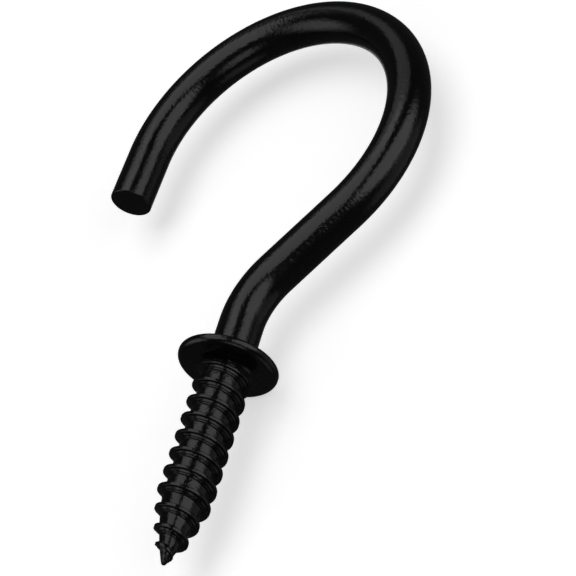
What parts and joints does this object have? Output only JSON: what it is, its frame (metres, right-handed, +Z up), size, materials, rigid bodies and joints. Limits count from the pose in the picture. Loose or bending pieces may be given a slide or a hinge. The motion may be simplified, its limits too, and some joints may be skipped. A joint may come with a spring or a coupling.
{
  "type": "ceiling hook",
  "caption": "Black screw-in ceiling hook: round wire bent to an offset open loop under a flat collar, with a wood-screw thread and gimlet point.",
  "frame": {"origin": "centre of the collar's flat seat, on the screw's axis", "axes": "+Z up along the screw into the ceiling, the hook hangs below in the XZ plane with its mouth towards +X, -Y is the front"},
  "size_m": [0.0331, 0.009, 0.0615],
  "materials": {
    "black_enamel": "gloss"
  },
  "bodies": {
    "root": {"ceiling_hook": "black_enamel"}
  },
  "joints": []
}
